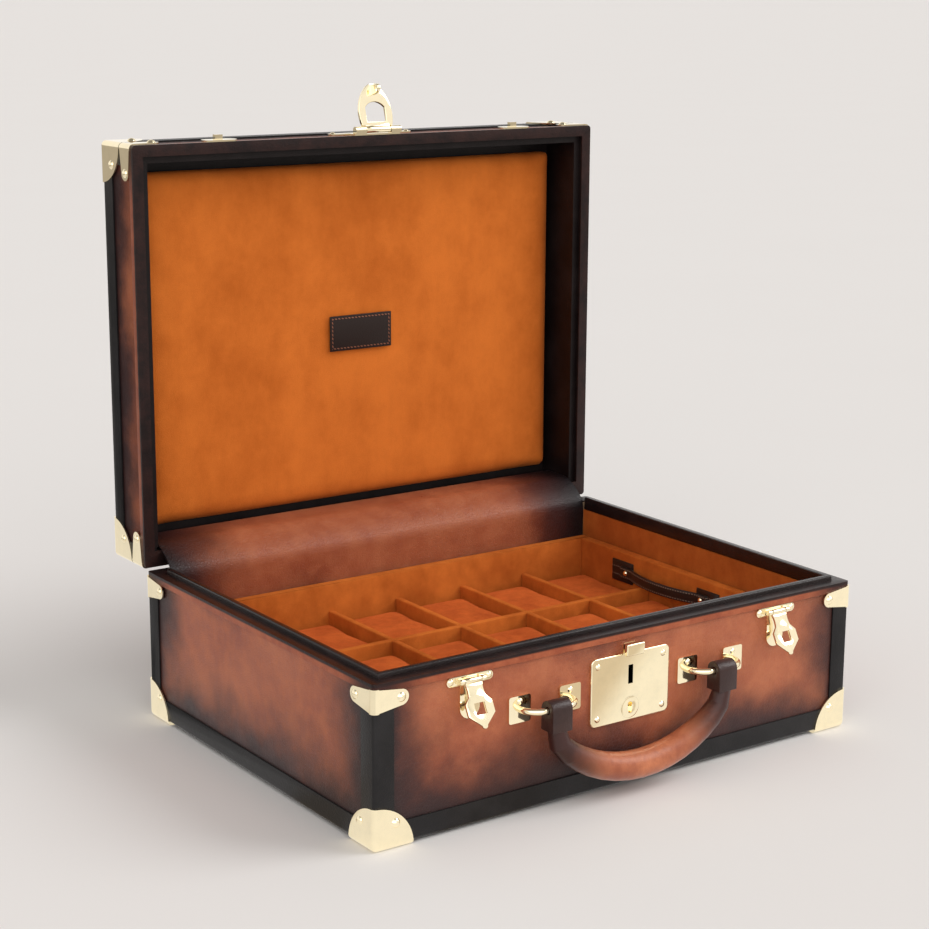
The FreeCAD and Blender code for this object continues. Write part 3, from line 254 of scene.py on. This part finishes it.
def softened(name, body, width, steps=2, material=None):
    """A copy of a CAD piece, its triangles merged and its sharp edges rolled over."""
    bpy.ops.object.select_all(action="DESELECT")
    piece = bpy.data.objects.new(name + "_soft", cad[name].data.copy())
    bpy.context.scene.collection.objects.link(piece)
    bpy.context.view_layer.objects.active = piece
    piece.select_set(True)
    bpy.ops.object.mode_set(mode="EDIT")
    bpy.ops.mesh.select_all(action="SELECT")
    bpy.ops.mesh.remove_doubles(threshold=WELD)
    bpy.ops.mesh.customdata_custom_splitnormals_clear()
    bpy.ops.mesh.tris_convert_to_quads(face_threshold=FLAT, shape_threshold=ANY_SHAPE)
    bpy.ops.object.mode_set(mode="OBJECT")
    applied(
        piece, "BEVEL", width=width, segments=steps,
        limit_method="ANGLE", angle_limit=SHARP, use_clamp_overlap=True,
    )
    bpy.ops.object.shade_smooth_by_angle(angle=SHADED_AS_SHARP)
    dress(piece, material)
    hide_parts(name)
    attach(piece, body)
    return piece


TRIM_ROLL = 0.0005
black_calf = box_calf("black_calf", CALF_BLACK, gloss=0.34)
cover(("base_bottom_pad",), black_calf)
base_trim = softened("base_edge_trim", "base", TRIM_ROLL, material=black_calf)


# Bound rim and collar of the base
# A strip of dark calf folded over the top of the walls, and a second board
# ring bound in it that stands up inside to meet the lid.
BINDING_ROLL = 0.0011
COLLAR_ROLL = 0.0013
BINDING_DARK = (0.010, 0.0058, 0.0058)
BINDING_BROWN = (0.030, 0.0125, 0.0105)
rim_calf = box_calf("rim_calf", (0.012, 0.0070, 0.0066), gloss=0.16, spec=0.30)


def bound_edge(name, axis, fold, wall, rise, middle, half, shade=1.0):
    """The case's leather, burnished dark from the fold onwards along one axis."""
    material, shader, place = new_finish(name, spec=0.22)
    mottle = place.cloud(70, 6.0, 0.7)
    dark = (place.axis(axis) + (mottle - 0.5) * 0.001).step(fold, fold + wall)
    brushed = mottle.step(0.3, 0.7)
    dyed = brushed.between(shaded(PATINA_RED, shade), shaded(PATINA_TAN, shade))
    end_x = abs(place.axis("X")).step(0.150, 0.192)
    end_rise = abs(place.axis(rise) - middle).step(half - 0.035, half)
    dyed = (end_x * end_rise).between(dyed, PATINA_BURNT)
    tone = dark.between(dyed, brushed.between(BINDING_DARK, BINDING_BROWN))
    pebble = place.cells(CALF_PEBBLE, "SMOOTH_F1")
    lay_on(shader, tone, 0.36 - dark * 0.1 + mottle * 0.1, pebble + mottle, CALF_RELIEF)
    return material


base_edge = bound_edge(
    "base_bound_edge", "Z", fold=0.1058, wall=0.0014, rise="Y", middle=0.0, half=0.142
)
base_rim = softened("base_rim_binding", "base", BINDING_ROLL, 3, material=base_edge)
collar = softened("base_collar", "base", COLLAR_ROLL, 3, material=rim_calf)


# Brass corners, nails and fittings of the base
# Caps and brackets pressed from sheet brass, polished, and nailed through the
# leather with dome-headed nails.
BRASS = (1.0, 0.88, 0.61)
brass, shader, place = new_finish("polished_brass", metallic=1.0)
smear = place.cloud(120, 4.0, 0.6)
dull = place.cloud(700, 2.0, 0.5)
tone = smear.step(0.35, 0.8).between(BRASS, shaded(BRASS, 0.94))
lay_on(shader, tone, 0.04 + smear * 0.03 + dull * 0.02, smear, depth=0.00001)
cover(("base_corner_caps", "base_rim_brackets", "base_nails"), brass)
cover(("pivot_pins", "lock_case", "lock_bolt"), brass)


# Suede on the walls and floor of the base
# Split leather with its nap brushed up, glued straight to the boards.
WALL_DARK = (0.30, 0.065, 0.010)
WALL_LIGHT = (0.54, 0.150, 0.026)
SUEDE_SPEC = 0.12


def suede(name, dark, light, patch, nap=0.0005):
    """Brushed split leather: the nap lies light and dark in soft patches."""
    material, shader, place = new_finish(
        name, SUEDE_SPEC, sheen_weight=0.35, sheen_roughness=0.45, sheen_tint=(*light, 1)
    )
    stroke = place.cloud(patch, 5.0, 0.62, stretch=(1, 1, 0.55))
    lay = place.cloud(patch * 5, 4.0, 0.6)
    fibre = place.cloud(1500, 3.0, 0.7)
    shift = (stroke * 0.6 + lay * 0.25 + fibre * 0.15).step(0.30, 0.70)
    tone = shift.between(dark, light)
    lay_on(shader, tone, 0.86 + fibre * 0.12, fibre * 0.8 + lay * 0.5, nap)
    return material


wall_suede = suede("wall_suede", WALL_DARK, WALL_LIGHT, patch=16)
cover(("base_wall_lining", "base_floor_lining"), wall_suede)


# Lock
# A polished brass plate with a slot for the hasp's staple, a push button above
# it and a key plug below, all screwed to the front board.
PLUG_ROLL = 0.0003
BUTTON_ROLL = 0.0006
cover(("lock_plate",), brass)
softened("lock_plug", "lock_plug", PLUG_ROLL, material=brass)
softened("lock_button", "lock_button", BUTTON_ROLL, 3, material=brass)


# Clasps
# Stamped T-plates nailed beside the lock, each with a waisted lever that swings
# up over a nib on the lid.
CLASP_ROLL = 0.0004
softened("clasp_plates", "base", CLASP_ROLL, material=brass)
for name in ("clasp_lever_left", "clasp_lever_right"):
    softened(name, name, CLASP_ROLL, material=brass)


# Handle
# A rolled and stuffed grip in the case's leather, dyed dark towards both ends,
# with dark loops that hang on two brass bows.
GRIP_RED = (0.32, 0.085, 0.039)
GRIP_TAN = (0.56, 0.185, 0.083)
GRIP_BURNT = (0.045, 0.014, 0.011)
LOOP_BROWN = (0.030, 0.0135, 0.0115)
LOOP_ROLL = 0.0011
cover(("handle_bows",), brass)
grip_leather, shader, place = new_finish(
    "grip_leather", spec=0.3, coat_weight=0.12, coat_roughness=0.12
)
brush = place.cloud(60, 5.0, 0.65)
ends = (abs(place.axis("X")) + (brush - 0.5) * 0.03).step(0.026, 0.066)
tone = brush.step(0.3, 0.75).between(GRIP_RED, GRIP_TAN)
tone = ends.between(tone, GRIP_BURNT)
pore = place.cells(1300)
lay_on(shader, tone, 0.30 + brush * 0.14, pore * 0.5 + brush, depth=0.0002)
cover(("handle_grip",), grip_leather)
loop_calf = box_calf("loop_calf", LOOP_BROWN, gloss=0.24, spec=0.34)
loops = softened("handle_end_loops", "handle", LOOP_ROLL, 3, material=loop_calf)


# Tray
# Boards wrapped in brown suede: a floor, four walls and lower dividers that are
# half-lapped where they cross.
TRAY_DARK = (0.36, 0.078, 0.010)
TRAY_LIGHT = (0.70, 0.190, 0.030)
TRAY_ROLL = 0.0011
tray_suede = suede("tray_suede", TRAY_DARK, TRAY_LIGHT, patch=16)
for name in ("tray_walls", "tray_long_dividers", "tray_cross_dividers"):
    softened(name, "tray", TRAY_ROLL, 3, material=tray_suede)
cover(("tray_floor",), tray_suede)


# Tray pulls
# Black leather bands riveted over square tabs on the end walls, bowed so that
# a finger fits behind them.
STRAP_BLACK = (0.011, 0.009, 0.0085)
STRAP_THREAD = (0.24, 0.19, 0.15)
STRAP_SEAM = 0.0031
STRAP_ROLL = 0.0006
THREAD_INNER = 0.0003
THREAD_OUTER = 0.0006
strap_low, strap_high = (Vector(corner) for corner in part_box("tray_pull_straps"))
strap_calf, shader, place = new_finish("strap_calf")
height = place.axis("Z") - (strap_low.z + strap_high.z) / 2
seam = 1 - abs(abs(height) - STRAP_SEAM).step(THREAD_INNER, THREAD_OUTER)
thread = seam * place.axis("Y").stitches(2600, -0.4, 0.0)
pebble = place.cells(CALF_PEBBLE, "SMOOTH_F1")
tone = thread.between(STRAP_BLACK, STRAP_THREAD)
lay_on(shader, tone, 0.28 + pebble * 0.1, pebble * 0.4 + thread * 2, depth=0.0002)
straps = softened("tray_pull_straps", "tray", STRAP_ROLL, material=strap_calf)
cover(("tray_pull_rivets",), brass)


# Watch cushions
# Foam pads in red suede, one to a cell, with rounded edges. One is swollen by
# cloth pressure and the others are copies of it, each turned a little.
COLUMNS = 6
ROWS = ("front", "middle", "back")
CELL_PITCH = (0.060, 0.087)
PAD_SIZE = (0.0515, 0.0715, 0.0398)
PAD_FOOT = 0.0142
PAD_HELD = 0.004
PAD_DARK = (0.40, 0.070, 0.013)
PAD_LIGHT = (0.68, 0.150, 0.030)
LEAN_STEP = 0.8
SWELL_FRAMES = 20


def swell(piece, pressure, cap, held):
    """Blows a pad up as cloth and keeps each point within the cap of its start."""
    start = [v.co.copy() for v in piece.data.vertices]
    pins = piece.vertex_groups.new(name="held")
    pins.add([i for i, place in enumerate(start) if held(place)], 1.0, "REPLACE")
    cloth = piece.modifiers.new("cloth", "CLOTH")
    cloth.settings.use_pressure = True
    cloth.settings.uniform_pressure_force = pressure
    cloth.settings.effector_weights.gravity = 0
    cloth.settings.vertex_group_mass = "held"
    cloth.settings.tension_stiffness = 18
    cloth.settings.compression_stiffness = 18
    cloth.settings.bending_stiffness = 0.4
    for step in range(1, SWELL_FRAMES + 1):
        bpy.context.scene.frame_set(step)
    bpy.ops.object.modifier_apply(modifier="cloth")
    bpy.context.scene.frame_set(1)
    for vertex, place in zip(piece.data.vertices, start):
        move = vertex.co - place
        if move.length > cap:
            vertex.co = place + move * (cap / move.length)
    piece.vertex_groups.clear()


def foam_block(name, middle, size, corner, voxel, pressure, cap, held):
    """A block of foam under suede: rounded, swollen where it isn't held, and smooth."""
    bpy.ops.object.select_all(action="DESELECT")
    bpy.ops.mesh.primitive_cube_add(size=1, location=middle, scale=size)
    block = bpy.context.object
    block.name = name
    bpy.ops.object.transform_apply(location=True, rotation=True, scale=True)
    bpy.ops.object.mode_set(mode="EDIT")
    bpy.ops.mesh.select_all(action="SELECT")
    bpy.ops.mesh.bevel(offset=corner, segments=4, affect="EDGES")
    bpy.ops.object.mode_set(mode="OBJECT")
    applied(block, "REMESH", mode="VOXEL", voxel_size=voxel)
    swell(block, pressure, cap, held)
    applied(block, "SUBSURF", levels=1, render_levels=1)
    bpy.ops.object.shade_smooth()
    return block


pad = foam_block(
    "pad", (0, 0, PAD_FOOT + PAD_SIZE[2] / 2), PAD_SIZE, corner=0.005, voxel=0.0035,
    pressure=4.0, cap=0.0021, held=lambda place: place.z < PAD_FOOT + PAD_HELD,
)
dress(pad, suede("pad_suede", PAD_DARK, PAD_LIGHT, patch=34, nap=0.0006))

strap_pads = []
for row, row_name in enumerate(ROWS):
    for column in range(COLUMNS):
        copy_name = "watch_cushion_%s_%d" % (row_name, column + 1)
        copy = bpy.data.objects.new(copy_name, pad.data.copy())
        bpy.context.scene.collection.objects.link(copy)
        turn = ((column * 7 + row * 5) % 5 - 2) * LEAN_STEP
        lean = Matrix.Rotation(math.radians(turn), 4, "Z")
        spot_x = (column - (COLUMNS - 1) / 2) * CELL_PITCH[0]
        spot = Vector((spot_x, (row - 1) * CELL_PITCH[1], 0))
        copy.data.transform(Matrix.Translation(spot) @ lean)
        under_strap = column in (0, COLUMNS - 1)
        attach(copy, "tray" if under_strap else "watch_cushions_" + row_name)
        if under_strap:
            strap_pads.append(copy)
        else:
            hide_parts("watch_cushions_%s_row" % row_name)
for copy in strap_pads:
    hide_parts("watch_cushions_under_straps")
bpy.data.objects.remove(pad)


# Leather skins and edges of the lid
# The same dyed calf over the lid's boards, edged with black trims and a folded
# rim like the base, and lined with plain black calf.
NO_EDGE = 10.0
LINING_BLACK = (0.007, 0.0042, 0.0040)
# The lid's walls take the case's dye darkened to 0.74: partly the darker burnish of these
# narrow walls, partly painted shade of the side wall turned from the light.
lid_walls = patina(
    "patina_and_painted_shade_lid_walls", "Z", "Y", half=NO_EDGE, low=0.135, high=0.186, soft=0.036,
    spec=0.1, gloss=0.42, shade=0.74,
)
lid_top = patina("patina_lid_top", "X", "Z", half=0.186, low=0.126, high=0.394)
cover(("lid_wall_leather",), lid_walls)
cover(("lid_top_leather",), lid_top)
lid_trim = softened("lid_edge_trim", "lid", TRIM_ROLL, material=black_calf)
# The lid's bound edge takes the case's dye darkened to 0.72: partly darker burnish, partly
# painted shade of the side turned from the light.
lid_edge = bound_edge(
    "lid_bound_edge_and_painted_shade", "Y", fold=0.1562, wall=-0.0012, rise="Z", middle=0.260, half=0.142,
    shade=0.72,
)
lid_rim = softened("lid_rim_binding", "lid", BINDING_ROLL, 3, material=lid_edge)
cover(("lid_corner_caps", "lid_rim_brackets", "lid_nails", "hasp_pin"), brass)
lid_calf = box_calf("lid_wall_calf", LINING_BLACK, gloss=0.34, spec=0.2)
cover(("lid_wall_lining", "lid_wall_boards", "lid_top_board"), lid_calf)


# Padded panel in the lid
# Orange suede over a sheet of foam, pulled round a thin board so that its edge
# rolls over, and glued into the lid.
PANEL_DARK = (0.43, 0.092, 0.010)
PANEL_LIGHT = (0.74, 0.194, 0.029)
PANEL_EDGE_SHADE = (0.26, 0.055, 0.008)
PANEL_SHEEN = (0.62, 0.24, 0.06, 1)
PANEL_ROOM = Vector((0.002, 0.003, 0.003))
PANEL_HELD = 0.003
low, high = (Vector(corner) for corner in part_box("lid_padded_panel"))
middle = (low + high) / 2
size = high - low
back = high.y - PANEL_HELD
panel = foam_block(
    "lid_panel", middle + Vector((0, PANEL_ROOM.y / 2, 0)), size - PANEL_ROOM, corner=0.0045,
    voxel=0.0045, pressure=1.2, cap=0.0011, held=lambda place: place.y > back,
)
panel_suede, shader, place = new_finish(
    "panel_suede", SUEDE_SPEC, sheen_weight=0.4, sheen_roughness=0.4, sheen_tint=PANEL_SHEEN
)
stroke = place.cloud(7, 6.0, 0.62, stretch=(1, 1, 0.5))
streak = place.cloud(30, 4.0, 0.6, stretch=(1, 1, 0.15))
fibre = place.cloud(1500, 3.0, 0.7)
patch = place.cloud(28, 5.0, 0.65)
lay = (stroke * 0.5 + patch * 0.25 + streak * 0.12 + fibre * 0.13).step(0.33, 0.66)
tone = lay.between(PANEL_DARK, PANEL_LIGHT)
# Painted shade: the suede darkens towards the panel's edges, where it rolls into the recess
# against the lid's walls.
edge_x = size.x / 2 - abs(place.axis("X"))
edge_z = size.z / 2 - abs(place.axis("Z") - middle.z)
edge = (edge_x.least(edge_z) + (stroke - 0.5) * 0.010).step(-0.002, 0.013)
tone = edge.between(PANEL_EDGE_SHADE, tone)
lay_on(shader, tone, 0.86 + fibre * 0.12, fibre * 0.8 + stroke * 0.6, depth=0.0005)
dress(panel, panel_suede)
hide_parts("lid_padded_panel")
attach(panel, "lid")


# Patch on the panel
# A bare dark leather label, sewn round its edge with brown thread.
PATCH_DARK = (0.020, 0.0112, 0.0090)
PATCH_THREAD = (0.30, 0.110, 0.060)
PATCH_SEAM = 0.0021
PATCH_ROLL = 0.0004
low, high = (Vector(corner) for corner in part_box("lid_patch"))
patch_calf, shader, place = new_finish("patch_calf", spec=0.2)
patch_x = (high.x - low.x) / 2 - abs(place.axis("X"))
patch_z = (high.z - low.z) / 2 - abs(place.axis("Z") - (low.z + high.z) / 2)
seam = 1 - abs(patch_x.least(patch_z) - PATCH_SEAM).step(THREAD_INNER, THREAD_OUTER)
thread = seam * (place.axis("X") + place.axis("Z")).stitches(2100, -0.3, 0.1)
pebble = place.cells(1000, "SMOOTH_F1")
tone = thread.between(PATCH_DARK, PATCH_THREAD)
lay_on(shader, tone, 0.42 + pebble * 0.1, pebble * 0.4 + thread * 1.5, depth=0.0003)
softened("lid_patch", "lid", PATCH_ROLL, material=patch_calf)


# Hinges, and the leather gusset over them
# Two brass butt hinges nailed outside at the back. Inside, one strip of the
# case's leather is glued to both back walls and folds where the lid turns.
GUSSET_SIDE = 0.0036
GUSSET_THICK = 0.0012
cover(("hinge_base_leaves", "hinge_lid_leaves"), brass)
base_low, base_high = (Vector(corner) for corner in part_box("hinge_gusset_base"))
lid_low, lid_high = (Vector(corner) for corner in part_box("hinge_gusset_lid"))
half = base_high.x + GUSSET_SIDE
# The strip's profile from its foot on the base to its end on the lid, as y and z.
profile = (
    (base_low.y + 0.0007, base_low.z),
    (base_low.y + 0.0007, base_high.z - 0.012),
    (base_low.y + 0.0002, base_high.z - 0.004),
    (base_low.y + 0.0012, base_high.z + 0.0015),
    (base_low.y + 0.0050, base_high.z + 0.0055),
    (base_low.y + 0.0100, base_high.z + 0.0100),
    (lid_low.y + 0.0040, lid_high.z + 0.0018),
    (lid_low.y + 0.0110, lid_high.z + 0.0024),
    (lid_high.y, lid_high.z + 0.0024),
)
foot_y, foot_z = profile[0]
bpy.ops.object.select_all(action="DESELECT")
bpy.ops.mesh.primitive_plane_add(size=2 * half, location=(0, foot_y, foot_z))
gusset = bpy.context.object
gusset.name = "hinge_gusset"
bpy.ops.object.transform_apply(location=True, rotation=True, scale=True)
bpy.ops.object.mode_set(mode="EDIT")
bpy.ops.mesh.select_all(action="SELECT")
bpy.ops.mesh.delete(type="ONLY_FACE")
bpy.ops.object.mode_set(mode="OBJECT")
for vertex in gusset.data.vertices:
    vertex.select = vertex.co.y > foot_y
bpy.ops.object.mode_set(mode="EDIT")
bpy.ops.mesh.select_mode(type="VERT")
bpy.ops.mesh.delete(type="VERT")
bpy.ops.mesh.select_all(action="SELECT")
bpy.ops.transform.translate(value=(0, half, 0))
for before, after in zip(profile, profile[1:]):
    shift = (0, after[0] - before[0], after[1] - before[1])
    bpy.ops.mesh.extrude_region_move(TRANSFORM_OT_translate={"value": shift})
bpy.ops.mesh.select_all(action="SELECT")
bpy.ops.mesh.normals_make_consistent(inside=False)
bpy.ops.object.mode_set(mode="OBJECT")
applied(gusset, "SUBSURF", levels=2, render_levels=2, boundary_smooth="PRESERVE_CORNERS")
applied(gusset, "SOLIDIFY", thickness=GUSSET_THICK, offset=0.0)
bpy.ops.object.shade_smooth_by_angle(angle=math.radians(50))
gusset_leather = patina(
    "patina_gusset", "X", "Z", half=0.179, low=0.030, high=0.20, soft=0.075,
    spec=0.22, gloss=0.25, shade=0.8,
)
dress(gusset, gusset_leather)
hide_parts("hinge_gusset_base", "hinge_gusset_lid")
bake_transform(gusset)


# Hasp and strikes on the lid
# A cast brass loop hung on a plate at the middle of the lid's edge, and two
# small plates with nibs for the clasps.
HASP_ROLL = 0.0006
softened("hasp", "hasp", HASP_ROLL, 3, material=brass)
cover(("hasp_plate", "lid_strikes"), brass)


# Floor, light and camera
# A pale seamless sheet that also glows in reflections, as a painted mirror image
# in the brass: bright near the box and brown far off, with a painted brown band
# and a painted shadow left of the box. Two far soft lights, a pale room, and a
# camera left of the front.
FLOOR_SIDE = 900
FLOOR_DROP = 0.0002
PAPER_DARK = (0.798, 0.770, 0.749)
PAPER_LIGHT = (0.808, 0.780, 0.759)
SHEEN_NEAR = (1.0, 0.985, 0.965)
SHEEN_FAR = (0.24, 0.20, 0.15)
SHEEN_BAND = (0.44, 0.30, 0.13)
ROOM_LIGHT = (1.0, 0.98, 0.96)
ROOM_SEEN = (1.0, 0.957, 0.918)
bpy.ops.object.select_all(action="DESELECT")
bpy.ops.mesh.primitive_plane_add(size=FLOOR_SIDE, location=(0, 0, -FLOOR_DROP))
floor = bpy.context.object
floor.name = "floor"
floor_paper, shader, place = new_finish("floor_paper", spec=0.0)
tooth = place.cloud(3, 2.0, 0.5)
lay_on(shader, tooth.between(PAPER_DARK, PAPER_LIGHT), tooth * 0.05 + 0.9, tooth, depth=0.0)
shine = place.node("ShaderNodeLightPath", out="Is Glossy Ray")
reach = place.node("ShaderNodeVectorMath", {"operation": "LENGTH"}, {0: place}, "Value")
mirrored = reach.step(0.6, 1.7).between(SHEEN_NEAR, SHEEN_FAR)
# Painted reflection: a brown band across the sheet's mirror image, which the lock plate shows
# as a diagonal streak.
slant = place.axis("X") * 0.632 + place.axis("Y") * 0.775
band = slant.step(-0.216, -0.208) * (1 - slant.step(-0.176, -0.150))
mirrored = (band * 0.75).between(mirrored, SHEEN_BAND)
# Painted shadow: the mirror image is dimmer left of the box, where the box's shadow falls on
# the sheet.
left = (place.axis("X") * -1).step(0.20, 0.34)
sockets = {"Color": mirrored, "Strength": 1.12 - left * 0.24}
glow = place.node("ShaderNodeEmission", None, sockets)
tree = floor_paper.node_tree
paper = Socket(tree, shader.outputs["BSDF"])
sheet = place.node("ShaderNodeMixShader", None, {0: shine * 0.6, 1: paper, 2: glow})
tree.links.new(sheet.socket, tree.nodes["Material Output"].inputs["Surface"])
floor.data.materials.append(floor_paper)

world = bpy.data.worlds.new("room")
bpy.context.scene.world = world
world.use_nodes = True
tree = world.node_tree
room = Socket(tree)
seen = room.node("ShaderNodeLightPath", out="Is Camera Ray")
shine = room.node("ShaderNodeLightPath", out="Is Glossy Ray")
tint = seen.between(ROOM_LIGHT, ROOM_SEEN)
ceiling = room.node("ShaderNodeTexCoord", out="Generated").axis("Z").step(0.45, 0.95)
strength = 0.55 + seen * 0.241 + shine * (0.45 - ceiling * 0.75)
tree.links.new(tint.socket, tree.nodes["Background"].inputs["Color"])
tree.links.new(strength.socket, tree.nodes["Background"].inputs["Strength"])


def lamp(name, turn, height, spread, strength):
    """A far soft light: its turn round the box, height and spread in degrees, and strength."""
    light = bpy.data.lights.new(name, "SUN")
    light.angle = math.radians(spread)
    light.energy = strength
    item = bpy.data.objects.new(name, light)
    bpy.context.scene.collection.objects.link(item)
    item.rotation_euler = (math.radians(90 - height), 0, math.radians(turn))


lamp("key", turn=58, height=40, spread=36, strength=1.3)
lamp("fill", turn=-30, height=26, spread=80, strength=1.2)

PHOTO_SIDE = 929
FOCAL_PIXELS = 2072.157
SENSOR = 36
VIEW_TURN = math.radians(35.0425)
VIEW_DROP = math.radians(13.1151)
VIEW_ROLL = math.radians(0.2737)
VIEW_PLACE = Vector((-0.83476, -1.14997, 0.52099))
camera = bpy.data.cameras.new("camera")
camera.sensor_width = SENSOR
camera.lens = FOCAL_PIXELS / PHOTO_SIDE * SENSOR
viewer = bpy.data.objects.new("camera", camera)
bpy.context.scene.collection.objects.link(viewer)
ahead = Vector((
    math.sin(VIEW_TURN) * math.cos(VIEW_DROP),
    math.cos(VIEW_TURN) * math.cos(VIEW_DROP),
    -math.sin(VIEW_DROP),
))
right = ahead.cross(Vector((0, 0, 1))).normalized()
above = right.cross(ahead)
level_right = right * math.cos(VIEW_ROLL) + above * math.sin(VIEW_ROLL)
level_above = above * math.cos(VIEW_ROLL) - right * math.sin(VIEW_ROLL)
stand = Matrix((level_right, level_above, -ahead)).transposed().to_4x4()
stand.translation = VIEW_PLACE
viewer.matrix_world = stand
bpy.context.scene.camera = viewer
bpy.context.scene.view_settings.view_transform = "Standard"
